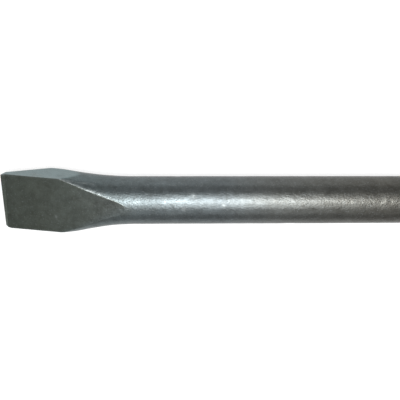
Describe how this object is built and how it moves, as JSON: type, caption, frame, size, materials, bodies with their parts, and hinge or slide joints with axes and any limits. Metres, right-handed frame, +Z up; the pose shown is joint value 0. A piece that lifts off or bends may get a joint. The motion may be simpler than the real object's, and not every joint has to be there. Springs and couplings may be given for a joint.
{
  "type": "cold chisel",
  "caption": "Hand-struck cold chisel: round steel bar forged to a flared, wedge-shaped flat blade with a ground cutting edge, and a tapered head.",
  "frame": {"origin": "bottom centre of the bounding box: under the middle of the chisel, on the surface that it lies on", "axes": "+X along the bar from the cutting edge to the struck face, +Y across the width of the blade, +Z up and square to the broad faces"},
  "size_m": [0.3, 0.0254, 0.02],
  "materials": {
    "forged_steel": "dark, fine-grained forged and hardened skin with a soft sheen",
    "ground_edge": "ground bevels, slightly paler than the forged skin",
    "struck_head": "dark skin on the taper, ground struck face"
  },
  "bodies": {
    "root": {"cutting_edge": "ground_edge", "blade": "forged_steel", "neck": "forged_steel", "shank": "forged_steel", "head": "struck_head"}
  },
  "joints": []
}
